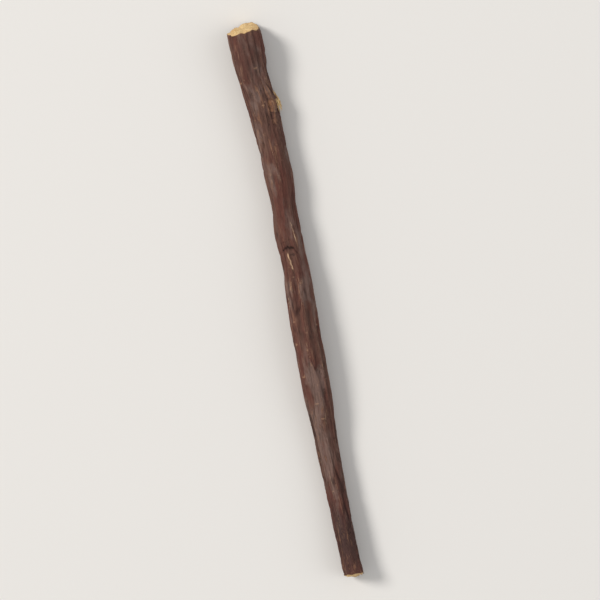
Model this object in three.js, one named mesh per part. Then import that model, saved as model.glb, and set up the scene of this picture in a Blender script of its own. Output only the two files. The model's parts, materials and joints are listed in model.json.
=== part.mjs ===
// A cut length of dried licorice root, lying on a table.
//
// It grew as one piece, so it is one solid. The root lies along Y, with its thick cut end at +Y
// and its thin cut end at -Y. X is to the right as it is seen from above, and Z is up from the
// table. All lengths are millimetres.
//
// The solid starts as a straight blank of radius 1, turned on a lathe. Each point of the blank
// is then moved to its place on the root: the girth, the bend, the shrunken bark's furrows, the
// scars and the two rough cuts are each a function of the distance from the thick end, called
// down, and the angle round the root, called around. Around is 0 at the right, a quarter turn at
// the top and minus a quarter turn at the table.

import * as THREE from "three";
import { mergeVertices } from "three/addons/utils/BufferGeometryUtils.js";

const rootLength = 150;
const sidesAround = 64;
const turn = 2 * Math.PI;

// Pairs of the distance from the thick end and half the root's width there.
const girth = curveThrough([
  [0, 4.6],
  [6, 4.75],
  [13, 4.2],
  [24, 4.1],
  [34, 3.95],
  [42, 4.0],
  [49, 3.55],
  [56, 3.9],
  [62, 3.72],
  [72, 3.95],
  [88, 4.25],
  [102, 4.05],
  [112, 3.5],
  [124, 3.3],
  [136, 3.1],
  [146, 3.05],
  [150, 3.2],
]);

// How far the root bends to the right of a straight line.
const bend = curveThrough([
  [0, -0.2],
  [12, 0],
  [22, 0.65],
  [34, 1.1],
  [46, 1.35],
  [56, 0.75],
  [66, 0.85],
  [80, 0.45],
  [100, 0.12],
  [118, 0.1],
  [134, -0.05],
  [150, 0.4],
]);

// The gap between the root's underside and the table. Where it is below nothing, the bark is
// pressed flat, and the root rests there.
const gapBelow = curveThrough([
  [0, 0.25],
  [14, -0.1],
  [28, -0.42],
  [42, -0.2],
  [68, 0.6],
  [90, 0.2],
  [106, -0.4],
  [122, -0.35],
  [136, 0.3],
  [150, 1.0],
]);

// Furrows run down the dried bark in lanes, one after another. Each one wanders, and opens and
// closes along its length.
// The depth is given as a share of the girth.
const furrowLanes = 17;
const furrowSeed = 1709;
const furrowLength = { least: 20, most: 80 };
const furrowDepth = { least: 0.05, most: 0.125 };
const furrowWidth = { least: 0.32, most: 0.6 };
const furrowSway = { least: -0.24, most: 0.24 };
const furrowDrift = { least: -0.004, most: 0.004 };

// Scars where thin side roots broke off: a low mound with a pit in it.
const rootletScars = [
  { down: 22, around: 0.86, size: 1.25, height: 0.38 },
  { down: 87, around: -0.3, size: 1.25, height: 0.42 },
  { down: 43, around: 2.75, size: 1.1, height: 0.36 },
  { down: 101, around: 3.5, size: 1.35, height: 0.45 },
  { down: 124, around: 0.85, size: 0.95, height: 0.3 },
  { down: 71, around: 4.3, size: 1.2, height: 0.4 },
  { down: 33, around: 5.6, size: 1.2, height: 0.4 },
];

// The old joint: a crack that arches across the upper side, with a raised collar below it.
const joint = { down: 60.2, around: 1.7, halfSweep: 0.58, arch: 1.3 };
const jointCrack = { depth: 0.62, width: 0.62 };
const jointCollar = { height: 0.34, below: 2.6, width: 2.1 };
const jointRidge = { height: 0.34, around: 1.98, drift: -0.045, length: 9, width: 0.42 };

// The knuckle on the right, where a splinter of wood stands out, with a torn hollow at its foot.
const knuckle = { down: 22, around: 0.3, height: 0.62, length: 3.8, width: 0.62 };
const splinter = { down: 20.7, around: 0.1, height: 1.4, length: 1.5, width: 0.13 };
const hollow = { down: 23.5, around: 0.2, depth: 0.6, length: 0.95, width: 0.17 };

// The cuts. Lean is how far the cut face turns up towards the sky, and slope how it falls from
// the crease, as a rise over a run, to its left and to its right.
const thickCut = { lean: 21, crease: 2.5, slopeLeft: 0.13, slopeRight: 0.5, rough: 0.26 };
const thinCut = { lean: 11, crease: -0.6, slopeLeft: 0.28, slopeRight: 0.1, rough: 0.2 };
const cutReach = 11;
const woodProud = 0.16;
const rayHeight = 0.005;
const cutRings = [0, 0.3, 0.58, 0.8, 0.93];

// Rings of the blank are closer together where the shape is fine.
const coarseStep = 3.1;
const fineStretches = [
  { from: 0, to: 3, step: 1 },
  { from: 16, to: 24.4, step: 1.05 },
  { from: 57, to: 67, step: 0.91 },
  { from: 147, to: 150, step: 1 },
];

// A smooth curve through pairs of distance and value.
function curveThrough(pairs) {
  const distances = pairs.map(([distance]) => distance);
  const values = pairs.map(([, value]) => value);
  const curve = new THREE.CubicInterpolant(distances, values, 1);
  return (distance) => curve.evaluate(distance)[0];
}

// 1 at nothing, falling smoothly to 0 either side.
function hump(offset, width) {
  return Math.exp(-((offset / width) ** 2));
}

// The angle from one direction to another, the short way round.
function angleBetween(around, other) {
  return THREE.MathUtils.euclideanModulo(around - other + Math.PI, turn) - Math.PI;
}

function between({ least, most }) {
  return THREE.MathUtils.lerp(least, most, THREE.MathUtils.seededRandom());
}

function makeFurrows() {
  THREE.MathUtils.seededRandom(furrowSeed);
  const laneWidth = turn / furrowLanes;
  const furrows = [];
  for (let lane = 0; lane < furrowLanes; lane++) {
    let start = -between({ least: 0, most: furrowLength.least });
    while (start < rootLength) {
      const length = between(furrowLength);
      furrows.push({
        around: (lane + between({ least: -0.5, most: 0.5 })) * laneWidth,
        down: start + length / 2,
        halfLength: length / 2,
        depth: between(furrowDepth),
        width: between(furrowWidth),
        sway: between(furrowSway),
        drift: between(furrowDrift),
        phase: between({ least: 0, most: turn }),
      });
      start += length;
    }
  }
  return furrows;
}

const furrows = makeFurrows();

// How deep the furrows are at a point of the bark.
function furrowAt(down, around) {
  const radius = girth(down);
  let depth = 0;
  for (const furrow of furrows) {
    const along = down - furrow.down;
    const wander = furrow.drift * along + furrow.sway * Math.sin(down / 11 + furrow.phase);
    const across = angleBetween(around, furrow.around + wander) * radius;
    const open = Math.exp(-((along / furrow.halfLength) ** 4));
    depth += furrow.depth * radius * open * hump(across, furrow.width);
  }
  return depth;
}

// The lobes of the root's section, which turn slowly along it.
function lobes(down, around) {
  return (
    0.15 * Math.cos(2 * around + 0.7 + down / 58) +
    0.11 * Math.cos(3 * around - 1.9 + down / 33) +
    0.09 * Math.cos(5 * around + 2.4 - down / 21) +
    0.07 * Math.cos(8 * around + 0.4 + Math.sin(down / 9)) +
    0.08 * Math.sin(down / 5.3 + 1.5 * Math.cos(around))
  );
}

function scars(down, around) {
  let height = 0;
  for (const scar of rootletScars) {
    const across = angleBetween(around, scar.around) * girth(down);
    const away = Math.hypot((down - scar.down) / 1.25, across);
    height += scar.height * (hump(away, scar.size) - 1.3 * hump(away, scar.size * 0.4));
  }
  return height;
}

function oldJoint(down, around) {
  const turned = angleBetween(around, joint.around);
  const inSweep = hump(turned, joint.halfSweep);
  const line = joint.down + joint.arch * (1 - Math.cos(2.2 * turned)) - 0.8 * turned;
  const below = down - line;
  const ridgeAround = jointRidge.around + jointRidge.drift * below;
  const ridgeAcross = angleBetween(around, ridgeAround) * girth(down);
  const ridgeAlong = hump(below - jointRidge.length / 2, jointRidge.length / 2);
  return (
    jointCollar.height * inSweep * hump(below - jointCollar.below, jointCollar.width) -
    jointCrack.depth * inSweep * hump(below, jointCrack.width) +
    jointRidge.height * ridgeAlong * hump(ridgeAcross, jointRidge.width)
  );
}

function knuckleAndSplinter(down, around) {
  const mound = ({ down: at, around: side, length, width }) =>
    hump(down - at, length) * hump(angleBetween(around, side), width);
  return (
    knuckle.height * mound(knuckle) +
    splinter.height * mound(splinter) -
    hollow.depth * mound(hollow)
  );
}

// The distance from the root's middle line to its bark.
function barkRadius(down, around) {
  return (
    girth(down) +
    lobes(down, around) +
    scars(down, around) +
    oldJoint(down, around) +
    knuckleAndSplinter(down, around) -
    furrowAt(down, around)
  );
}

// How far a cut stands out along the root at a point across it, given from the middle line.
function cutRelief(cut, right, up, inward) {
  const fall = right < cut.crease ? cut.slopeLeft : cut.slopeRight;
  const around = Math.atan2(up, right);
  const waves = Math.sin(1.5 * right + 0.8 * up + 0.5) * Math.cos(1.2 * up - 0.6 * right + 1);
  const rays = Math.sin(11 * around + 2 * Math.cos(3 * around)) * (right ** 2 + up ** 2);
  const edgeChips = Math.sin(5 * around + 2 * Math.sin(3 * around)) * (1 - inward);
  return (
    -up * Math.tan(THREE.MathUtils.degToRad(cut.lean)) -
    fall * Math.abs(right - cut.crease) +
    cut.rough * (waves + 0.6 * edgeChips) +
    rayHeight * rays +
    woodProud * inward
  );
}

// Moves a point of the blank, given by its share of the radius, to its place on the root.
function placeOnRoot(share, down, around) {
  const radius = barkRadius(down, around) * share;
  const right = radius * Math.cos(around);
  const up = radius * Math.sin(around);
  const inward = THREE.MathUtils.smoothstep(1 - share, 0, 0.08);
  const nearThick = hump(down, cutReach);
  const nearThin = hump(rootLength - down, cutReach);
  const y =
    rootLength / 2 -
    down +
    nearThick * cutRelief(thickCut, right, up, inward) -
    nearThin * cutRelief(thinCut, right, up, inward);
  const middleHeight = girth(down) + gapBelow(down);
  return new THREE.Vector3(bend(down) + right, y, Math.max(0, middleHeight + up));
}

// Distances from the thick end at which the blank has a ring.
function ringDistances() {
  const distances = [];
  let down = 0;
  while (down < rootLength - 0.5 * coarseStep) {
    distances.push(down);
    const fine = fineStretches.find(({ from, to }) => down >= from - 1e-6 && down < to - 0.5);
    const next = fineStretches.find(({ from }) => from > down + 1e-6);
    const room = (next ? next.from : rootLength) - down;
    down += fine ? fine.step : room / Math.max(1, Math.round(room / coarseStep));
  }
  distances.push(rootLength);
  return distances;
}

function makeBlank() {
  const end = rootLength / 2;
  const profile = [
    ...cutRings.map((share) => new THREE.Vector2(share, -end)),
    ...ringDistances().map((down) => new THREE.Vector2(1, end - down)).toReversed(),
    ...cutRings.toReversed().map((share) => new THREE.Vector2(share, end)),
  ];
  const blank = new THREE.LatheGeometry(profile, sidesAround);
  blank.deleteAttribute("normal");
  blank.deleteAttribute("uv");
  return mergeVertices(blank);
}

function makeRoot() {
  const geometry = makeBlank();
  const points = geometry.attributes.position;
  const point = new THREE.Vector3();
  for (let i = 0; i < points.count; i++) {
    point.fromBufferAttribute(points, i);
    const share = Math.hypot(point.x, point.z);
    const down = rootLength / 2 - point.y;
    const placed = placeOnRoot(share, down, Math.atan2(point.z, point.x));
    points.setXYZ(i, placed.x, placed.y, placed.z);
  }
  // The origin is on the table, under the middle of the root.
  geometry.computeBoundingBox();
  const middle = geometry.boundingBox.getCenter(new THREE.Vector3());
  geometry.translate(-middle.x, -middle.y, 0);
  geometry.computeVertexNormals();
  return geometry;
}

const bark = new THREE.MeshStandardMaterial({ color: 0x684638, roughness: 0.86, metalness: 0 });

const root = new THREE.Mesh(makeRoot(), bark);
root.name = "licorice_root";

const licorice = new THREE.Group();
licorice.add(root);

export default licorice;
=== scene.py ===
# A cut length of dried licorice root, lying on a pale table and seen from above.
import json
import math
import random

import bpy
from mathutils import Matrix, Vector, noise

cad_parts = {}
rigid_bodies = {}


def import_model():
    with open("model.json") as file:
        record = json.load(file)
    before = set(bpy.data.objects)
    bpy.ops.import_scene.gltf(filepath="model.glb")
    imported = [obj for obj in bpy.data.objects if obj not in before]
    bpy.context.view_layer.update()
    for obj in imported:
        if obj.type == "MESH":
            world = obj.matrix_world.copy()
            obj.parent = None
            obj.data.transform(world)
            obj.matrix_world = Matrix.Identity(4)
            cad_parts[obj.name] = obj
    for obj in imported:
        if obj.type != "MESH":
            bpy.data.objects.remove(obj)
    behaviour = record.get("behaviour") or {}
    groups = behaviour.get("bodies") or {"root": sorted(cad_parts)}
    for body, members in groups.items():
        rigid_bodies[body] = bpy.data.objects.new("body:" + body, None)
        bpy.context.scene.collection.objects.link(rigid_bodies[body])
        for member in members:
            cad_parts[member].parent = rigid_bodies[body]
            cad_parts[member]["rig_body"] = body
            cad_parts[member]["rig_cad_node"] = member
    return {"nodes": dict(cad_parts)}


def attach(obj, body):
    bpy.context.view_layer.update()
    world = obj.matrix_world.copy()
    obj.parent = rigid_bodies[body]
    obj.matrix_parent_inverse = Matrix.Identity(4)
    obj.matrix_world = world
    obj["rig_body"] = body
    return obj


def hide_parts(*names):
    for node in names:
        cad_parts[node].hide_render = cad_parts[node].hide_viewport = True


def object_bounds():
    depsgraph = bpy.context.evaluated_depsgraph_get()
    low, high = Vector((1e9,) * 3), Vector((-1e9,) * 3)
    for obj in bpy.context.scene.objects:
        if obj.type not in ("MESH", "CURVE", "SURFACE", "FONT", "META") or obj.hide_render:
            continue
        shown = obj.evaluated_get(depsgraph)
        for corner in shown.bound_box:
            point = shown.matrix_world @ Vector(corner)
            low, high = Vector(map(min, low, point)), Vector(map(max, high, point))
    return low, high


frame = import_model()
cadLow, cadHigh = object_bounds()

mm = 0.001
fullTurn = 2 * math.pi


# Small helpers

def deselectAll():
    if bpy.context.object and bpy.context.object.mode != "OBJECT":
        bpy.ops.object.mode_set(mode="OBJECT")
    bpy.ops.object.select_all(action="DESELECT")


def makeActive(piece):
    deselectAll()
    piece.select_set(True)
    bpy.context.view_layer.objects.active = piece


def applyModifier(piece, kind, **settings):
    makeActive(piece)
    modifier = piece.modifiers.new(kind.lower(), kind)
    for name, value in settings.items():
        setattr(modifier, name, value)
    bpy.ops.object.modifier_apply(modifier=modifier.name)


def selectInMesh(piece, kind, test):
    # kind is "VERT" or "EDGE". Leaves the piece in edit mode with what passes the test selected.
    makeActive(piece)
    bpy.ops.object.mode_set(mode="EDIT")
    bpy.ops.mesh.select_mode(type=kind)
    bpy.ops.mesh.select_all(action="DESELECT")
    bpy.ops.object.mode_set(mode="OBJECT")
    parts = {"VERT": piece.data.vertices, "EDGE": piece.data.edges}[kind]
    parts.foreach_set("select", [bool(test(part)) for part in parts])
    bpy.ops.object.mode_set(mode="EDIT")


def copyOf(piece, name):
    makeActive(piece)
    bpy.ops.object.duplicate()
    made = bpy.context.object
    made.name = made.data.name = name
    return made


def pressIn(piece, name, weights, depth):
    # Pushes the surface in by depth where the weight is 1.
    group = piece.vertex_groups.new(name=name)
    for index, weight in enumerate(weights):
        group.add([index], min(1.0, max(0.0, weight)), "REPLACE")
    applyModifier(piece, "DISPLACE", strength=-depth, mid_level=0.0, vertex_group=name)
    piece.vertex_groups.remove(piece.vertex_groups[name])


def saveMask(piece, name, values):
    layer = piece.data.attributes.new(name, "FLOAT", "POINT")
    layer.data.foreach_set("value", [float(value) for value in values])


def savePlaces(piece, name, places):
    layer = piece.data.attributes.new(name, "FLOAT_VECTOR", "POINT")
    layer.data.foreach_set("vector", [float(part) for place in places for part in place])


def smoothStep(low, high, value):
    share = min(1.0, max(0.0, (value - low) / (high - low)))
    return share * share * (3 - 2 * share)


def hump(offset, width):
    return math.exp(-((offset / width) ** 2))


def turnBetween(angle, other):
    return (angle - other + math.pi) % fullTurn - math.pi


# The middle line of the root, measured on the frame's own solid

middleLine = {
    "slice": 5 * mm,        # how long a stretch is measured at a time
    "reach": 70 * mm,       # past this the middle of the last stretch holds on, because the cuts slant
}


def measureMiddle():
    sliceLength = middleLine["slice"]
    last = round(middleLine["reach"] / sliceLength)
    slices = {}
    for vertex in frame["nodes"]["licorice_root"].data.vertices:
        number = round(vertex.co.y / sliceLength)
        if abs(number) <= last:
            slices.setdefault(number, []).append(vertex.co)
    found = []
    for number in range(-last, last + 1):
        points = slices[number]
        found.append((
            (min(p.x for p in points) + max(p.x for p in points)) / 2,
            (min(p.z for p in points) + max(p.z for p in points)) / 2,
        ))
    return found


middles = measureMiddle()


def middleAt(y):
    place = y / middleLine["slice"] + (len(middles) - 1) / 2
    place = min(len(middles) - 1.001, max(0.0, place))     # just short of the last one
    first = int(place)
    part = place - first
    (x0, z0), (x1, z1) = middles[first], middles[first + 1]
    return x0 + (x1 - x0) * part, z0 + (z1 - z0) * part


thickEndInset = 1.668 * mm              # from the end of the box to the middle of the slanting cut
thickEndY = cadHigh.y - thickEndInset   # where the distance down the root is counted from


class Spot:
    # Where a point is on the root: the angle round it, 0 at +X and a quarter turn at the top, the
    # distance from the middle line, and the distance down from the thick end, both in millimetres.
    def __init__(self, co):
        x, z = middleAt(co.y)
        self.around = math.atan2(co.z - z, co.x - x)
        self.radius = math.hypot(co.z - z, co.x - x) / mm
        self.down = (thickEndY - co.y) / mm


def pointAt(down, around, radius):
    y = thickEndY - down * mm
    x, z = middleAt(y)
    return Vector((x + radius * mm * math.cos(around), y, z + radius * mm * math.sin(around)))


print("frame loaded, root box", [round(v / mm, 1) for v in cadHigh - cadLow])


# The root itself

root = {
    "weld": 0.001 * mm,         # corners of the blank that are nearer than this are one
    "alongShare": 0.7,         # an edge with more than this share of its length along the root runs along it
    "outShare": 0.75,           # and one on a cut with more than this share towards the rim runs out
    "lengthCuts": 3,            # extra rings between two rings of the smoothed blank
    "faceMiddle": 1.3 * mm,     # the middles of the cuts get no extra rings
    "faceCuts": 1,              # extra rings on the rest of the cuts
    "smoothing": 0.5,
    "smoothRounds": 2,
    "reliefRounds": 240,        # the bark stands out from a copy that is smoothed this often
    "cutFrom": 66 * mm,         # the cuts lie past this
    "cutTurn": 0.55,            # a face turned at least this much along the root is part of a cut
    "rimShare": (0.2, 0.8),     # a vertex with this share of cut faces round it is on the rim of a cut
    "rimParts": 90,             # the rim's radius is kept at this many places round it
    "leastDepth": 0.02,         # mm in from the bark, on all of the cut
    "halfway": 75,              # mm down the root
    "girth": 4.0,               # mean radius in mm, for patterns that run round the root
    "bareDepth": 1.4,           # bare wood looks like the cut this far in from the bark, in mm
}

# What is pressed into the bark. Sizes are across and along the root in mm, and depths are in mm.
# Shade is how much a layer darkens the bark.
bark = {
    "wander": {"strength": 0.3, "round": 1.3, "along": 13},     # how the lines stray sideways
    "seedShift": (3.7, -1.9, 5.3),
    "furrow": {"size": (2.2, 20.0), "depth": 0.36, "line": 0.12, "shade": 0.9},
    "wrinkle": {"size": (1.0, 7.5), "depth": 0.25, "line": 0.28, "shade": 0.65},
    "crease": {"size": (0.55, 3.2), "depth": 0.12, "line": 0.34, "shade": 0.3},
    "crack": {"size": (2.4, 1.1), "depth": 0.14, "line": 0.05, "shade": 0.8},
    "lineShape": 1.5,
    "swell": {"size": (6, 24), "mean": 0.55, "most": 0.9, "seed": 7},   # how the lines' strength varies
    "lump": {"size": (3.2, 6.5), "depth": 0.3, "seed": 11},
    "restFrom": 0.06,           # mm above the table, where the flats that it rests on end
    "restTo": 0.5,
}

# Small corky pores: short pale ridges that run across the root. The named ones are given by their
# distance down the root and their angle round it.
pores = {
    "seed": 7,
    "count": 52,
    "down": (3, 147),
    "offJoint": 3,              # mm, as are the next
    "length": (0.12, 0.26),     # half of it, along the root
    "width": (0.22, 0.55),      # half of it, across the root
    "height": (0.05, 0.11),
    "edge": (1.6, 0.6),         # a pore rises from the first to the second of these half sizes
    "named": [
        (83.6, 1.56), (88.3, 1.72), (90.0, 1.66), (102.8, 1.75), (107.0, 1.5), (130.6, 1.3), (32.6, 1.2),
    ],
}

# The old joint, the pit beside it, and the worn ridges: distance down the root and angle round it.
joint = {
    "down": 60.2,
    "around": 1.7,
    "arch": 1.3,                # mm, how high the crack arches
    "archTurns": 2.2,
    "slope": 0.8,               # mm for each radian round the root
    "waves": [(0.5, 4, 3.1), (0.3, 13, 7.4)],   # height in mm, how close they are, seed
    "halfSweep": 0.66,          # how far round it the crack is strong, in radians
    "leastSweep": 0.02,
    "crackWidth": 0.3,          # mm, as is the next
    "crackDepth": 0.26,
    "pit": {"down": 62.3, "around": 1.5, "length": 0.45, "width": 0.8, "depth": 0.2},
    "wornRidges": [
        {"start": (60.6, 1.98), "end": (67.2, 1.72), "width": 0.24, "strength": 0.9},
        {"start": (52.0, 1.26), "end": (60.6, 0.96), "width": 0.2, "strength": 0.75},
        {"start": (31.0, 1.75), "end": (36.5, 1.62), "width": 0.2, "strength": 0.4},
        {"start": (72.5, 2.66), "end": (77.5, 2.58), "width": 0.24, "strength": 0.6},
        {"start": (84.0, 1.72), "end": (93.0, 1.66), "width": 0.22, "strength": 0.4},
        {"start": (104.0, 1.2), "end": (111.0, 1.3), "width": 0.22, "strength": 0.5},
        {"start": (120.0, 1.9), "end": (127.0, 1.8), "width": 0.2, "strength": 0.45},
        {"start": (24.0, 4.2), "end": (33.0, 4.3), "width": 0.26, "strength": 0.8},
        {"start": (92.0, 3.6), "end": (99.0, 3.5), "width": 0.24, "strength": 0.7},
        {"start": (70.0, 5.3), "end": (80.0, 5.2), "width": 0.26, "strength": 0.7},
    ],
}

# How strokes on the bark are drawn: they stray this far in radians, and fade over this share of their
# length at both ends.
strokes = {"wander": 0.05, "waves": 0.9, "seed": 2.0, "fade": 0.3}

# The oval scar of a side root on the knuckle, beside the splinter. Ovals have a half length and a half
# width in mm, and an edge is where an oval fades in and where it is full, in half sizes.
knuckle = {
    "scar": {"down": 21.9, "around": 0.86, "length": 2.1, "width": 1.5},
    "scarEdge": (1.0, 0.8),
    "ragged": {"size": (0.8, 0.8), "strength": 0.12, "seed": 8},
    "rings": 2.3,               # rings of bark from its middle to its rim
    "ringDepth": 0.16,
    "groove": {"start": (15.4, 0.80), "end": (19.4, 0.42), "width": 0.34, "strength": 1.0},
    "grooveDepth": 0.3,
    "hollow": {"down": 23.6, "around": 0.2, "length": 0.75, "width": 0.7},
    "hollowEdge": (1.6, 0.5),
    "fin": {"down": 20.9, "around": 0.12, "length": 2.9, "width": 0.62},   # bare wood under the splinter
    "finEdge": (1.15, 0.75),
    "finStreaks": {"size": (0.4, 3.0), "strength": 0.75, "seed": 9},       # strips of bark that run into it
}

# Stretches where the bark's tone changes: distance down, angle round, half length, half width in mm,
# and strength. They end at the reach, in half lengths.
tones = {
    "reach": 2.5,
    "grey": [
        # The stretches at 99 and 117 mm are grey tone and also a painted pale sheen of light
        (68, 0.7, 7, 2.2, 0.9), (99, 1.6, 8, 3.4, 1.0), (117, 1.6, 7, 3.4, 1.0), (6, 1.9, 7, 3.0, 0.3),
        (36, 2.3, 8, 1.8, 0.5), (20, 5.0, 16, 3.0, 0.5), (90, 4.4, 18, 3.2, 0.5), (54, 3.3, 9, 2.2, 0.4),
    ],
    "red": [
        (64, 2.5, 4, 1.7, 0.9), (79, 1.4, 8, 2.6, 0.7), (47, 1.9, 6, 2.4, 0.5), (28, 1.4, 6, 2.2, 0.4),
        (45, 4.8, 14, 3.2, 0.5), (108, 4.2, 9, 2.6, 0.5), (137, 0.4, 8, 2.4, 0.5),
    ],
    "purple": [
        # The stretch at 139 mm is purple tone and also painted shade
        (139, 1.6, 10, 9.0, 0.9), (124, 0.4, 7, 2.0, 0.4), (8, 1.4, 9, 4.0, 0.3), (30, 0.2, 9, 2.0, 0.4),
    ],
}

# The cut wood: rays from the middle, and a coarse grain of broken fibres.
woodFace = {
    "rays": {"round": 5, "out": 0.35, "depth": 0.10},                   # depths in mm
    "grain": {"fineness": 1.9, "seed": 4.0, "depth": 0.11},
    "grainFractal": (0.7, 2.1, 3),
}


def barkNoise(spot, size, seed):
    # Noise on the rolled-out bark. It has no seam, because it is read round a cylinder.
    across, along = size
    shift = bark["seedShift"]
    wander = bark["wander"]
    stray = noise.noise(Vector((
        math.cos(spot.around) * wander["round"],
        math.sin(spot.around) * wander["round"],
        spot.down / wander["along"] + seed,
    )))
    angle = spot.around + wander["strength"] * stray
    return noise.noise(Vector((
        root["girth"] * math.cos(angle) / across + seed * shift[0],
        root["girth"] * math.sin(angle) / across + seed * shift[1],
        spot.down / along + seed * shift[2],
    )))


def lineAtZero(value, width):
    return max(0.0, 1 - abs(value) / width) ** bark["lineShape"]


def makeRoot():
    piece = copyOf(frame["nodes"]["licorice_root"], "licoriceRoot")
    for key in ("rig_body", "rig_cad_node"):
        if key in piece:
            del piece[key]
    piece.parent = None

    # A closed mesh of quads, rounded once and given more rings along its length
    selectInMesh(piece, "VERT", lambda vertex: True)
    bpy.ops.mesh.remove_doubles(threshold=root["weld"])
    bpy.ops.mesh.tris_convert_to_quads(face_threshold=math.pi, shape_threshold=math.pi)
    bpy.ops.object.mode_set(mode="OBJECT")
    applyModifier(piece, "SUBSURF", levels=1, render_levels=1)
    vertices = piece.data.vertices

    def runsAlong(edge):
        a, b = (vertices[i].co for i in edge.vertices)
        return abs(a.y - b.y) > root["alongShare"] * (a - b).length

    selectInMesh(piece, "EDGE", runsAlong)
    bpy.ops.mesh.subdivide(number_cuts=root["lengthCuts"], smoothness=0)
    bpy.ops.object.mode_set(mode="OBJECT")
    vertices = piece.data.vertices

    def runsOutOnCut(edge):
        a, b = (vertices[i].co for i in edge.vertices)
        if abs(a.y) < root["cutFrom"] or runsAlong(edge):
            return False
        x, z = middleAt(a.y)
        out = Vector(((a.x + b.x) / 2 - x, 0, (a.z + b.z) / 2 - z))
        flat = Vector((a.x - b.x, 0, a.z - b.z))
        runsOut = abs(flat.dot(out)) > root["outShare"] * flat.length * out.length
        return runsOut and out.length > root["faceMiddle"]

    selectInMesh(piece, "EDGE", runsOutOnCut)
    bpy.ops.mesh.subdivide(number_cuts=root["faceCuts"], smoothness=0)
    bpy.ops.object.mode_set(mode="OBJECT")
    applyModifier(piece, "SMOOTH", factor=root["smoothing"], iterations=root["smoothRounds"])
    bpy.ops.object.shade_smooth()
    print("root mesh", len(piece.data.polygons), "faces")
    return piece


def measureCuts(piece, spots):
    # How much of each vertex's surroundings is cut wood, and how far in from the bark it is on the cut.
    mesh = piece.data
    inCut = [0] * len(mesh.vertices)
    faces = [0] * len(mesh.vertices)
    for face in mesh.polygons:
        isCut = abs(face.center.y) > root["cutFrom"] and abs(face.normal.y) > root["cutTurn"]
        for index in face.vertices:
            faces[index] += 1
            inCut[index] += isCut
    cutShare = [a / b for a, b in zip(inCut, faces)]
    rims = {}
    parts = root["rimParts"]
    lowShare, highShare = root["rimShare"]
    for share, spot in zip(cutShare, spots):
        if lowShare < share < highShare:
            key = (spot.down > root["halfway"], int((spot.around + math.pi) / fullTurn * parts) % parts)
            rims[key] = max(rims.get(key, 0), spot.radius)
    depths = []
    for share, spot in zip(cutShare, spots):
        if share < 1:
            depths.append(0.0)
            continue
        place = (spot.around + math.pi) / fullTurn * parts - 0.5
        first = math.floor(place)
        part = place - first
        thin = spot.down > root["halfway"]
        radii = [rims.get((thin, (first + step) % parts), root["girth"]) for step in (0, 1)]
        rim = radii[0] * (1 - part) + radii[1] * part
        depths.append(max(root["leastDepth"], rim - spot.radius))
    return cutShare, depths


def jointLine(spot):
    # How far a point is below the crack of the old joint, in mm, and how strong the crack is there.
    turned = turnBetween(spot.around, joint["around"])
    line = joint["down"] + joint["arch"] * (1 - math.cos(joint["archTurns"] * turned))
    line -= joint["slope"] * turned
    for height, closeness, seed in joint["waves"]:
        line += height * noise.noise(Vector((spot.around * closeness, seed, 0)))
    return spot.down - line, hump(turned, joint["halfSweep"])


def strokeAt(spot, stroke):
    # How strong a stroke is here. It wanders from its start to its end, and fades beside it and at both ends.
    (startDown, startAround), (endDown, endAround) = stroke["start"], stroke["end"]
    share = (spot.down - startDown) / (endDown - startDown)
    if not 0 < share < 1:
        return 0.0
    middle = startAround + (endAround - startAround) * share
    wave = noise.noise(Vector((spot.down * strokes["waves"], startDown, strokes["seed"])))
    offset = turnBetween(spot.around, middle + strokes["wander"] * wave) * root["girth"]
    fading = smoothStep(0, strokes["fade"], share) * smoothStep(1, 1 - strokes["fade"], share)
    return stroke["strength"] * fading * hump(offset, stroke["width"])


def ovalReach(spot, down, around, length, width):
    # How far a point is from the middle of an oval on the bark, where 1 is on the oval's rim.
    return math.hypot((spot.down - down) / length, turnBetween(spot.around, around) * root["girth"] / width)


def toneAt(spot, patches):
    strength = 0.0
    for down, around, length, width, most in patches:
        if abs(spot.down - down) < tones["reach"] * length:
            strength += most * hump(ovalReach(spot, down, around, length, width), 1)
    return min(1.0, strength)


def makePores():
    # The places of the pores, sorted by the millimetre of the root that they are near.
    draw = random.Random(pores["seed"])
    places = list(pores["named"])
    while len(places) < pores["count"]:
        down, around = draw.uniform(*pores["down"]), draw.uniform(0, fullTurn)
        if abs(down - joint["down"]) > pores["offJoint"]:
            places.append((down, around))
    nearby = {}
    for down, around in places:
        size = draw.random()
        limits = (pores[name] for name in ("length", "width", "height"))
        pore = (down, around, *(low + (high - low) * size for low, high in limits))
        for step in (-1, 0, 1):
            nearby.setdefault(math.floor(down) + step, []).append(pore)
    return nearby


def poreAt(spot, nearby):
    # How far a pore stands up here, in mm.
    height = 0.0
    for down, around, length, width, most in nearby.get(math.floor(spot.down), ()):
        reach = ovalReach(spot, down, around, length, width)
        height = max(height, most * smoothStep(*pores["edge"], reach))
    return height


def standingOut(piece):
    # How far each vertex stands out from a smoothed copy of the piece, in mm, about 0 on average.
    smooth = copyOf(piece, "smoothedRoot")
    applyModifier(smooth, "SMOOTH", factor=root["smoothing"], iterations=root["reliefRounds"])
    heights = [
        (vertex.co - other.co).dot(vertex.normal) / mm
        for vertex, other in zip(piece.data.vertices, smooth.data.vertices)
    ]
    bpy.data.objects.remove(smooth)
    middle = sorted(heights)[len(heights) // 2]
    return [height - middle for height in heights]


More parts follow.
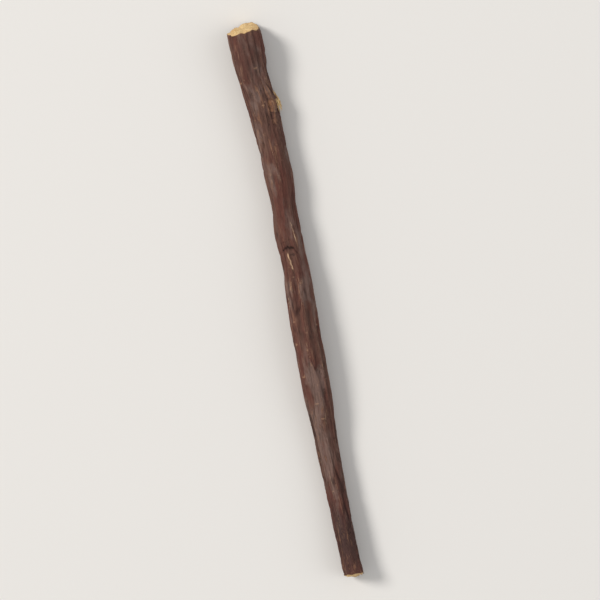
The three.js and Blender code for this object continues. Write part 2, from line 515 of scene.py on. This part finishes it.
def textureRoot(piece):
    spots = [Spot(vertex.co) for vertex in piece.data.vertices]
    cutShare, inFromBark = measureCuts(piece, spots)
    before = [vertex.co.copy() for vertex in piece.data.vertices]
    barkShare = [
        (1 - share) * smoothStep(bark["restFrom"], bark["restTo"], vertex.co.z / mm)
        for share, vertex in zip(cutShare, piece.data.vertices)
    ]

    def lines(layer, seed):
        # Lines where a noise crosses zero, pressed into the bark and darkened with painted shade: they run
        # on, part and meet as real wrinkles do.
        detail = bark[layer]
        swell = bark["swell"]
        found = []
        for spot, share in zip(spots, barkShare):
            strength = swell["mean"] + swell["most"] * barkNoise(spot, swell["size"], seed + swell["seed"])
            value = barkNoise(spot, detail["size"], seed)
            found.append(share * max(0.0, strength) * lineAtZero(value, detail["line"]))
        pressIn(piece, layer, found, detail["depth"] * mm)
        return [detail["shade"] * value for value in found]

    lump = bark["lump"]
    lumps = [
        share * (0.5 + 0.5 * barkNoise(spot, lump["size"], lump["seed"]))
        for spot, share in zip(spots, barkShare)
    ]
    pressIn(piece, "lump", lumps, lump["depth"] * mm)
    shadows = [lines(layer, seed) for seed, layer in enumerate(("furrow", "wrinkle", "crease", "crack"), 1)]

    jointCrack = []
    jointPit = []
    fromJoint = []
    pit = joint["pit"]
    for spot, share in zip(spots, barkShare):
        below, sweep = jointLine(spot)
        fromJoint.append(abs(below) / max(joint["leastSweep"], sweep))
        jointCrack.append(share * sweep * hump(below, joint["crackWidth"]))
        across = turnBetween(spot.around, pit["around"]) * root["girth"]
        jointPit.append(hump(spot.down - pit["down"], pit["length"]) * hump(across, pit["width"]))
    pressIn(piece, "jointCrack", jointCrack, joint["crackDepth"] * mm)
    pressIn(piece, "jointPit", jointPit, pit["depth"] * mm)

    # The knuckle: an oval scar with rings, a groove that runs down to it, and the bare wood of the splinter
    rings, inScar, groove, bareWood = [], [], [], []
    ragged, streaks = knuckle["ragged"], knuckle["finStreaks"]
    for spot in spots:
        reach = ovalReach(spot, **knuckle["scar"])
        reach += ragged["strength"] * barkNoise(spot, ragged["size"], ragged["seed"])
        within = smoothStep(*knuckle["scarEdge"], reach)
        inScar.append(within)
        rings.append(within * (0.6 - 0.4 * math.cos(fullTurn * knuckle["rings"] * reach)))
        hollow = smoothStep(*knuckle["hollowEdge"], ovalReach(spot, **knuckle["hollow"]))
        groove.append(max(strokeAt(spot, knuckle["groove"]), hollow))
        finReach = ovalReach(spot, **knuckle["fin"])
        finReach += streaks["strength"] * barkNoise(spot, streaks["size"], streaks["seed"])
        bareWood.append(smoothStep(*knuckle["finEdge"], finReach))
    pressIn(piece, "rings", rings, knuckle["ringDepth"] * mm)
    pressIn(piece, "groove", groove, knuckle["grooveDepth"] * mm)
    shadows += [jointCrack, jointPit, groove]

    # Pores stand up from the bark
    nearby = makePores()
    tallest = pores["height"][1]
    poreHeight = [share * poreAt(spot, nearby) / tallest for spot, share in zip(spots, barkShare)]
    pressIn(piece, "pore", poreHeight, -tallest * mm)

    # Rays and grain on the cut wood
    ray, grain = woodFace["rays"], woodFace["grain"]
    rayHeight, grainHeight = [], []
    for spot, share in zip(spots, cutShare):
        x, z = math.cos(spot.around), math.sin(spot.around)
        spoke = Vector((x * ray["round"], z * ray["round"], spot.radius * ray["out"]))
        rayHeight.append(share * (0.5 + 0.5 * noise.noise(spoke)))
        fine = spot.radius * grain["fineness"]
        rough = noise.fractal(Vector((x * fine, z * fine, grain["seed"])), *woodFace["grainFractal"])
        grainHeight.append(share * (0.5 + 0.5 * rough))
    pressIn(piece, "rays", rayHeight, ray["depth"] * mm)
    pressIn(piece, "grain", grainHeight, grain["depth"] * mm)

    # Nothing leaves the frame's own box or goes through the table
    for vertex in piece.data.vertices:
        for axis in range(3):
            vertex.co[axis] = min(cadHigh[axis], max(cadLow[axis], vertex.co[axis]))
    piece.data.update()

    # Painted shade for the lines, the joint's crack and pit, and the knuckle's groove and hollow
    saveMask(piece, "hollow", [min(1.0, sum(values)) for values in zip(*shadows)])
    saveMask(piece, "worn", [
        share * max(strokeAt(spot, ridge) for ridge in joint["wornRidges"])
        for spot, share in zip(spots, barkShare)
    ])
    saveMask(piece, "fromJoint", fromJoint)
    for name, tone in (("greyed", "grey"), ("reddened", "red"), ("purpled", "purple")):
        saveMask(piece, name, [toneAt(spot, tones[tone]) for spot in spots])
    saveMask(piece, "pore", poreHeight)
    saveMask(piece, "scar", inScar)
    saveMask(piece, "cut", [max(share, bare) for share, bare in zip(cutShare, bareWood)])
    saveMask(piece, "inFromBark", [
        max(depth, root["bareDepth"] * bare) for depth, bare in zip(inFromBark, bareWood)
    ])
    saveMask(piece, "standOut", standingOut(piece))
    # The places that the patterns are read at: on a straight cylinder in mm, and on the cuts from the middle
    savePlaces(piece, "rolledOut", [
        (root["girth"] * math.cos(spot.around), spot.down, root["girth"] * math.sin(spot.around))
        for spot in spots
    ])
    savePlaces(piece, "spoke", [
        (math.cos(spot.around), math.sin(spot.around), spot.radius / root["girth"]) for spot in spots
    ])
    moved = max((vertex.co - old).length for vertex, old in zip(piece.data.vertices, before))
    print("bark and wood pressed in, at most", round(moved / mm, 2), "mm")


licoriceRoot = makeRoot()
textureRoot(licoriceRoot)


# Materials

class Wire:
    # A socket of a material. Sums on wires add Math nodes, and node() adds any other node.
    def __init__(self, tree, socket=None):
        self.tree = tree
        self.socket = socket

    def node(self, kind, settings, sockets, output=0):
        made = self.tree.nodes.new("ShaderNode" + kind)
        for name, value in settings.items():
            setattr(made, name, value)
        for name, value in sockets.items():
            if isinstance(value, Wire):
                self.tree.links.new(value.socket, made.inputs[name])
            else:
                made.inputs[name].default_value = value
        return Wire(self.tree, made.outputs[output])

    def maths(self, operation, first, second):
        return self.node("Math", {"operation": operation}, {0: first, 1: second})

    def __add__(self, other):
        return self.maths("ADD", self, other)

    def __radd__(self, other):
        return self.maths("ADD", other, self)

    def __sub__(self, other):
        return self.maths("SUBTRACT", self, other)

    def __rsub__(self, other):
        return self.maths("SUBTRACT", other, self)

    def __mul__(self, other):
        return self.maths("MULTIPLY", self, other)

    def __rmul__(self, other):
        return self.maths("MULTIPLY", other, self)

    def steps(self, low, high):
        # 0 below low, 1 above high, smooth between them. It turns round where low is above high.
        return self.node("MapRange", {"interpolation_type": "SMOOTHSTEP"}, {
            "Value": self, "From Min": low, "From Max": high, "To Min": 0.0, "To Max": 1.0})

    def scaled(self, across, along):
        # A place, squeezed for a pattern of that size across and along the root.
        return self.node("Mapping", {}, {"Vector": self, "Scale": (1 / across, 1 / along, 1 / across)})

    def noise(self, detail, roughness, distortion=0.0, scale=1.0):
        return self.node("TexNoise", {}, {
            "Vector": self, "Scale": scale, "Detail": detail, "Roughness": roughness,
            "Distortion": distortion})


def fromScreen(red, green, blue):
    # A shade as a screen shows it, from 0 to 255, as the linear colour that a shader takes.
    def linear(part):
        part /= 255
        return part / 12.92 if part <= 0.04045 else ((part + 0.055) / 1.055) ** 2.4
    return (linear(red), linear(green), linear(blue), 1.0)


def blendShades(amount, first, second, how="MIX"):
    wire = next(w for w in (amount, first, second) if isinstance(w, Wire))
    return wire.node("Mix", {"data_type": "RGBA", "blend_type": how}, {0: amount, 6: first, 7: second}, 2)


barkShades = {
    "red": fromScreen(92, 53, 44),
    "brown": fromScreen(97, 68, 58),
    "grey": fromScreen(120, 98, 90),
    "purple": fromScreen(58, 39, 38),
    "dark": fromScreen(44, 28, 24),
    "crestHighlight": fromScreen(138, 104, 84),
    "fleck": fromScreen(178, 140, 108),
    "peeled": fromScreen(128, 91, 70),
    "worn": fromScreen(208, 172, 138),
    "scar": fromScreen(150, 104, 70),
}

woodShades = {
    "wood": fromScreen(228, 202, 150),
    "deep": fromScreen(190, 150, 98),
    "bast": fromScreen(214, 178, 126),
    "rim": fromScreen(88, 54, 40),
    "pith": fromScreen(190, 152, 104),
}

# How deep the fine relief of a finish is, and how dull it is.
finishes = {
    "root": {"bump": 0.18 * mm, "roughness": 0.82, "specular": 0.3},
    "looseWood": {"bump": 0.08 * mm, "roughness": 0.85, "specular": 0.3},
}


def startMaterial(name):
    material = bpy.data.materials.new(name)
    material.use_nodes = True
    return material, material.node_tree.nodes["Principled BSDF"]


def finishMaterial(material, shader, colour, relief, finish):
    bump = relief.node("Bump", {}, {"Height": relief, "Strength": 1.0, "Distance": finish["bump"]}, "Normal")
    links = material.node_tree.links
    links.new(colour.socket, shader.inputs["Base Color"])
    links.new(bump.socket, shader.inputs["Normal"])
    shader.inputs["Roughness"].default_value = finish["roughness"]
    shader.inputs["Specular IOR Level"].default_value = finish["specular"]
    return material


def attributeWire(start, name, output="Fac"):
    return start.node("Attribute", {"attribute_name": name}, {}, output)


def barkShade(start):
    # The bark's colour and its fine relief, as two wires.
    place = attributeWire(start, "rolledOut", "Vector")
    hollow = attributeWire(start, "hollow")
    worn = attributeWire(start, "worn")
    standOut = attributeWire(start, "standOut")
    greyed = attributeWire(start, "greyed")
    reddened = attributeWire(start, "reddened")
    purpled = attributeWire(start, "purpled")
    pore = attributeWire(start, "pore")
    scar = attributeWire(start, "scar")

    tone = place.scaled(5, 17).noise(3.0, 0.6)
    greyness = place.scaled(4, 11).noise(3.0, 0.6, 0.4)
    streak = place.scaled(0.42, 4.5).noise(4.0, 0.65)
    hair = place.scaled(0.16, 2.2).noise(3.0, 0.6)
    grit = place.scaled(0.3, 0.5).noise(3.0, 0.7)
    spots = place.scaled(0.36, 1.5).noise(3.0, 0.65, 0.3)

    isBrown = (tone - reddened * 0.16).steps(0.38, 0.62)
    shade = blendShades(isBrown, barkShades["red"], barkShades["brown"])
    # Grey and purple stretches of tone: those at 99 and 117 mm also paint a pale sheen, and the one at 139 mm
    # also paints shade
    isGrey = (greyness + greyed * 0.24).steps(0.52, 0.7)
    shade = blendShades(isGrey * 0.75, shade, barkShades["grey"])
    shade = blendShades(purpled * tone.steps(0.2, 0.5) * 0.95, shade, barkShades["purple"])
    # Painted shade in the furrows and low places, and a painted highlight on the crests between them
    low = (0 - standOut).steps(0.02, 0.34)
    high = standOut.steps(0.03, 0.26)
    shade = blendShades(high * streak.steps(0.46, 0.66) * 0.6, shade, barkShades["crestHighlight"])
    shade = blendShades(low * 0.28, shade, barkShades["dark"])
    shade = blendShades(streak.steps(0.5, 0.34) * 0.4, shade, barkShades["dark"])
    shade = blendShades(scar * spots.steps(0.35, 0.6) * 0.55, shade, barkShades["scar"])
    shade = blendShades(scar * high * hair.steps(0.45, 0.6) * 0.5, shade, barkShades["fleck"])
    # Painted shade in the furrows, the joint's crack and pit, and the knuckle's groove and hollow
    shade = blendShades(hollow.steps(0.1, 0.95) * 0.5, shade, barkShades["dark"])
    # Strips where the skin has come off, with a painted shadow line at their edges
    region = place.scaled(7, 22).noise(2.0, 0.5)
    skin = place.scaled(0.7, 5.5).noise(4.0, 0.62, 0.15) + region * 0.4
    bare = skin.steps(0.835, 0.85)
    edge = skin.steps(0.80, 0.835) * (1 - bare)
    shade = blendShades(edge * 0.45, shade, barkShades["dark"])
    shade = blendShades(bare * (0.35 + 0.5 * hair), shade, barkShades["peeled"])
    # Short flecks of inner bark, in swarms, most of them on the crests
    swarm = place.scaled(3.2, 11).noise(2.0, 0.5).steps(0.46, 0.64)
    chipped = spots.steps(0.55, 0.63) * (0.12 + 0.88 * swarm) * (0.3 + 0.7 * high) * (1 - 0.8 * hollow)
    shade = blendShades(chipped * 0.6, shade, barkShades["fleck"])
    corky = (pore + grit * 0.9 + streak * 0.5).steps(0.95, 1.4)
    shade = blendShades(corky * 0.36, shade, barkShades["fleck"])
    # The crack of the old joint: a thin broken line of painted shade
    crack = (attributeWire(start, "fromJoint") + grit * 0.5 + streak * 0.3).steps(0.64, 0.42)
    shade = blendShades(crack * 0.45, shade, barkShades["dark"])
    rubbed = worn.steps(0.2, 0.65) * (spots + hair).steps(0.84, 1.04)
    shade = blendShades(rubbed * 0.95, shade, barkShades["worn"])
    value = 0.62 + 0.46 * hair + 0.3 * grit
    grey = value.node("CombineColor", {}, {0: value, 1: value, 2: value})
    shade = blendShades(1.0, shade, grey, "MULTIPLY")
    relief = streak * 0.7 + hair * 0.4 + grit * 0.3 + chipped * 0.2 - bare * 0.22 - crack * 0.8
    return shade, relief


def woodShade(start):
    # The cut wood's colour and its fine relief, as two wires.
    spoke = attributeWire(start, "spoke", "Vector")
    share = spoke.node("SeparateXYZ", {}, {"Vector": spoke}, "Z")
    inFromBark = attributeWire(start, "inFromBark")
    around = spoke.node("Mapping", {}, {"Vector": spoke, "Scale": (1.0, 1.0, 0.0)})
    rays = around.noise(3.0, 0.6, scale=11.0)
    thing = start.node("TexCoord", {}, {}, "Object")
    grain = thing.noise(4.0, 0.7, scale=1 / (0.5 * mm))
    coarse = thing.noise(3.0, 0.6, 0.5, 1 / (2.2 * mm))

    # Pale wood with rays, and clefts between some of them, darkened with painted shade
    shade = blendShades(rays.steps(0.36, 0.58), woodShades["deep"], woodShades["wood"])
    shade = blendShades(coarse.steps(0.42, 0.7) * 0.4, shade, woodShades["bast"])
    shade = blendShades(grain.steps(0.5, 0.3) * 0.5, shade, woodShades["deep"])
    cleft = rays.steps(0.33, 0.27) * share.steps(0.12, 0.3)
    shade = blendShades(cleft * 0.5, shade, woodShades["rim"])
    shade = blendShades(share.steps(0.13, 0.05) * 0.5, shade, woodShades["pith"])
    # The bast round it, a thin line between the two, and the skin
    inward = inFromBark + coarse * 0.5 - 0.25
    shade = blendShades(inward.steps(1.25, 1.05) * 0.65, shade, woodShades["bast"])
    line = inward.steps(1.0, 1.12) * inward.steps(1.3, 1.18)
    shade = blendShades(line * 0.4, shade, woodShades["pith"])
    shade = blendShades(inFromBark.steps(0.28, 0.12) * 0.85, shade, woodShades["rim"])
    relief = grain * 0.8 + rays * 0.5 - cleft * 0.6
    return shade, relief


def makeRootMaterial():
    material, shader = startMaterial("driedRoot")
    start = Wire(material.node_tree)
    barkColour, barkRelief = barkShade(start)
    woodColour, woodRelief = woodShade(start)
    isCut = attributeWire(start, "cut").steps(0.5, 0.72)
    colour = blendShades(isCut, barkColour, woodColour)
    relief = barkRelief * (1 - isCut) + woodRelief * isCut
    return finishMaterial(material, shader, colour, relief, finishes["root"])


def makeWoodMaterial():
    # Loose wood: pale, with its fibres along the root.
    material, shader = startMaterial("dryWood")
    thing = Wire(material.node_tree).node("TexCoord", {}, {}, "Object")
    fibre = thing.scaled(0.18 * mm, 1.6 * mm).noise(3.0, 0.6)
    patch = thing.noise(2.0, 0.5, scale=1 / (0.9 * mm))
    shade = blendShades(fibre.steps(0.4, 0.6), woodShades["deep"], woodShades["wood"])
    shade = blendShades(patch.steps(0.45, 0.65) * 0.5, shade, woodShades["bast"])
    shade = blendShades(fibre.steps(0.38, 0.3) * 0.5, shade, woodShades["rim"])
    return finishMaterial(material, shader, shade, fibre, finishes["looseWood"])


rootMaterial = makeRootMaterial()
woodMaterial = makeWoodMaterial()
licoriceRoot.data.materials.clear()
licoriceRoot.data.materials.append(rootMaterial)
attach(licoriceRoot, "root")
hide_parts("licorice_root")
print("root dressed")


# Splinters and torn fibres

wellOutside = 12                    # mm from the middle line, for rays that look at the root from outside
sharpTurn = math.radians(40)        # edges of loose wood that turn more than this look sharp


def surfaceAt(down, around):
    # The point of the dressed root's surface there, seen from outside.
    far = pointAt(down, around, wellOutside)
    near = pointAt(down, around, 0)
    return licoriceRoot.ray_cast(far, (near - far).normalized())[1]


def outwardAt(around):
    return Vector((math.cos(around), 0, math.sin(around)))


def makeSliver(name, stations, smoothing=0):
    # A sliver along +Y. Each station along it is (distance, width, thickness, lift), in mm.
    deselectAll()
    bpy.ops.mesh.primitive_cube_add(size=1, location=(0, 0.5, 0))
    piece = bpy.context.object
    piece.name = piece.data.name = name
    bpy.ops.object.transform_apply(location=True, rotation=True, scale=True)
    segments = len(stations) - 1

    def runsAlong(edge):
        a, b = (piece.data.vertices[i].co for i in edge.vertices)
        return abs(a.y - b.y) > 0.5

    selectInMesh(piece, "EDGE", runsAlong)
    bpy.ops.mesh.subdivide(number_cuts=segments - 1)
    bpy.ops.object.mode_set(mode="OBJECT")
    for vertex in piece.data.vertices:
        distance, width, thickness, lift = stations[round(vertex.co.y * segments)]
        vertex.co = Vector((vertex.co.x * width, distance, vertex.co.z * thickness + lift)) * mm
    if smoothing:
        applyModifier(piece, "SUBSURF", levels=smoothing, render_levels=smoothing)
    return piece


def layAlong(piece, start, along, outward):
    # Turns a sliver from +Y to the way along, with its upper side outward, and moves it to start.
    side = along.cross(outward).normalized()
    turned = Matrix((side, along.normalized(), side.cross(along).normalized())).transposed().to_4x4()
    turned.translation = start
    piece.data.transform(turned)


def joinPieces(pieces, name):
    deselectAll()
    for piece in pieces:
        piece.select_set(True)
    bpy.context.view_layer.objects.active = pieces[0]
    bpy.ops.object.join()
    made = bpy.context.object
    made.name = made.data.name = name
    return made


def finishLoose(piece, material):
    piece.data.materials.clear()
    piece.data.materials.append(material)
    makeActive(piece)
    bpy.ops.object.shade_smooth_by_angle(angle=sharpTurn)
    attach(piece, "root")


# The splinter at the knuckle: a bundle of slivers on the bare wood, torn to points at both ends. The ones
# in the middle of the bundle stand out most.
splinter = {
    "seed": 12,
    "count": 15,
    "smoothing": 1,
    "bark": {"down": 18.6, "around": 0.1},      # where the height over the bark is counted from
    "room": (0.02, 0.12),                       # mm kept free inside the frame's box, the least and the most
    "around": (-0.08, 0.34),
    "spread": 0.4,                              # how far each may stray from its place in the bundle
    "start": (17.4, 19.6),                      # mm down the root
    "startStray": 0.05,
    "end": (21.6, 24.3),
    "endStray": 0.08,
    "startHeight": (-0.2, 0.4),                 # mm over the bark, as is the next
    "endHeight": (0.3, 1.7),
    "lowest": 0.6,                              # the least share of that height
    "width": (0.2, 0.36),
    "thickness": (0.16, 0.3),
    "bow": (0.05, 0.26),
    "facing": (0.3, 1.2),                       # the angle round the root that their flat sides face
    # Share of the length, width, thickness and bow
    "stations": [
        (0.0, 0.15, 0.2, 0.0), (0.2, 0.7, 0.8, 0.5), (0.45, 1.0, 1.0, 1.0), (0.72, 0.85, 0.85, 0.8),
        (0.9, 0.4, 0.5, 0.35), (1.0, 0.08, 0.12, 0.0),
    ],
}


def makeSplinter():
    draw = random.Random(splinter["seed"])
    barkRadius = Spot(surfaceAt(**splinter["bark"])).radius
    lowAround, highAround = splinter["around"]
    slivers = []

    def stray(name):
        return draw.uniform(-splinter[name], splinter[name])

    for number in range(splinter["count"]):
        share = (number + stray("spread")) / (splinter["count"] - 1)
        around = lowAround + (highAround - lowAround) * share
        middling = 1 - (2 * share - 1) ** 2
        heights = [
            low + (high - low) * middling * draw.uniform(splinter["lowest"], 1)
            for low, high in (splinter["startHeight"], splinter["endHeight"])
        ]
        startDown, endDown = draw.uniform(*splinter["start"]), draw.uniform(*splinter["end"])
        start = pointAt(startDown, around + stray("startStray"), barkRadius + heights[0])
        end = pointAt(endDown, around + stray("endStray"), barkRadius + heights[1])
        length = (end - start).length / mm
        width, thickness, bow = (draw.uniform(*splinter[name]) for name in ("width", "thickness", "bow"))
        stations = [
            (part * length, across * width, thick * thickness, raised * bow)
            for part, across, thick, raised in splinter["stations"]
        ]
        sliver = makeSliver(f"sliver{number}", stations, splinter["smoothing"])
        layAlong(sliver, start, end - start, outwardAt(draw.uniform(*splinter["facing"])))
        most = cadHigh.x - draw.uniform(*splinter["room"]) * mm
        over = max(vertex.co.x for vertex in sliver.data.vertices) - most
        if over > 0:
            sliver.data.transform(Matrix.Translation((-over, 0, 0)))
        slivers.append(sliver)
    piece = joinPieces(slivers, "knuckleSplinter")
    finishLoose(piece, woodMaterial)
    print("splinter at the knuckle made")


# Torn fibres that stand up from the two cuts. Lengths are in mm.
cutFringe = {
    "seed": 41,
    "ends": [
        {"name": "thick", "way": 1, "faceY": cadHigh.y, "rimDown": 2.5, "count": 34},
        {"name": "thin", "way": -1, "faceY": cadLow.y, "rimDown": 148, "count": 18},
    ],
    "length": (0.2, 0.6),
    "width": (0.08, 0.2),
    "rim": (0.55, 0.95),        # how far out from the middle, as a share of the radius
    "tilt": 1.1,
    "sink": 0.15,               # how deep their feet are in the wood
    "least": 0.15,              # shorter ones are left out
    "room": 0.05,               # kept free inside the frame's box
    "lookFrom": 2.0,            # outside the cut
    "stations": [(0, 1, 0.6, 0), (0.4, 0.9, 0.5, 0.02), (0.75, 0.6, 0.35, 0.08), (1, 0.15, 0.1, 0.2)],
}


def makeCutFringe():
    draw = random.Random(cutFringe["seed"])
    model = makeSliver("fibre", cutFringe["stations"])
    sink = cutFringe["sink"]
    fibres = []
    for end in cutFringe["ends"]:
        way, faceY = end["way"], end["faceY"]
        x0, z0 = middleAt(faceY)
        for number in range(end["count"]):
            around = draw.uniform(0, fullTurn)
            out = draw.uniform(*cutFringe["rim"])
            length = draw.uniform(*cutFringe["length"])
            width = draw.uniform(*cutFringe["width"])
            tilt = Vector((draw.uniform(-1, 1), 0, draw.uniform(-1, 1))) * cutFringe["tilt"]
            out *= (surfaceAt(end["rimDown"], around) - pointAt(end["rimDown"], around, 0)).length
            lookY = faceY + way * cutFringe["lookFrom"] * mm
            far = Vector((x0 + out * math.cos(around), lookY, z0 + out * math.sin(around)))
            found, foot = licoriceRoot.ray_cast(far, Vector((0, -way, 0)))[:2]
            if not found:
                continue
            room = abs(faceY - foot.y) / mm - cutFringe["room"]
            length = min(length, room)
            if length < cutFringe["least"]:
                continue
            fibre = copyOf(model, f"fibre{end['name']}{number}")
            for vertex in fibre.data.vertices:
                vertex.co = Vector((vertex.co.x * width, vertex.co.y * (length + sink), vertex.co.z * width))
            along = Vector((0, way, 0)) + tilt
            layAlong(fibre, foot - Vector((0, way * sink * mm, 0)), along, outwardAt(around))
            fibres.append(fibre)
    bpy.data.objects.remove(model)
    piece = joinPieces(fibres, "cutFibres")
    finishLoose(piece, woodMaterial)
    print("torn fibres made:", len(fibres))


makeSplinter()
makeCutFringe()


# The table, the lights and the camera

studio = {
    "floorSize": 12.0,
    "floorRoughness": 0.9,
    "floorSpecular": 0.2,
    "floorShade": fromScreen(228, 226, 223),
    "worldShade": (1.0, 0.99, 0.98, 1.0),
    "worldStrength": 0.5,
    "lights": [
        {
            "name": "keyLight", "place": (-2.0, 1.25, 2.0),
            "size": 1.0, "power": 68, "shade": (1.0, 0.97, 0.93),
        },
        {
            "name": "fillLight", "place": (1.8, -0.6, 1.4),
            "size": 1.8, "power": 10, "shade": (0.94, 0.97, 1.0),
        },
    ],
    "cameraHeight": 0.81,
    "lens": 180.0,
    "lean": math.radians(11.3),     # how far the root leans in the picture, its thick end at the top left
}


def makeFloor():
    deselectAll()
    bpy.ops.mesh.primitive_plane_add(size=studio["floorSize"], location=(0, 0, 0))
    floor = bpy.context.object
    floor.name = floor.data.name = "table"
    material, shader = startMaterial("paleTable")
    shader.inputs["Base Color"].default_value = studio["floorShade"]
    shader.inputs["Roughness"].default_value = studio["floorRoughness"]
    shader.inputs["Specular IOR Level"].default_value = studio["floorSpecular"]
    floor.data.materials.append(material)


def makeLights():
    for light in studio["lights"]:
        data = bpy.data.lights.new(light["name"], "AREA")
        data.shape = "DISK"
        data.size = light["size"]
        data.energy = light["power"]
        data.color = light["shade"]
        lamp = bpy.data.objects.new(light["name"], data)
        lamp.location = light["place"]
        lamp.rotation_euler = (-Vector(light["place"])).to_track_quat("-Z", "Y").to_euler()
        bpy.context.collection.objects.link(lamp)
    world = bpy.data.worlds.new("softRoom")
    world.use_nodes = True
    background = world.node_tree.nodes["Background"]
    background.inputs["Color"].default_value = studio["worldShade"]
    background.inputs["Strength"].default_value = studio["worldStrength"]
    bpy.context.scene.world = world
    bpy.context.scene.view_settings.view_transform = "Standard"


def makeCamera():
    data = bpy.data.cameras.new("camera")
    data.lens = studio["lens"]
    camera = bpy.data.objects.new("camera", data)
    middle = (cadLow + cadHigh) / 2
    camera.location = (middle.x, middle.y, studio["cameraHeight"])
    camera.rotation_euler = (0, 0, -studio["lean"])
    bpy.context.collection.objects.link(camera)
    bpy.context.scene.camera = camera


makeFloor()
makeLights()
makeCamera()
print("table, lights and camera set")
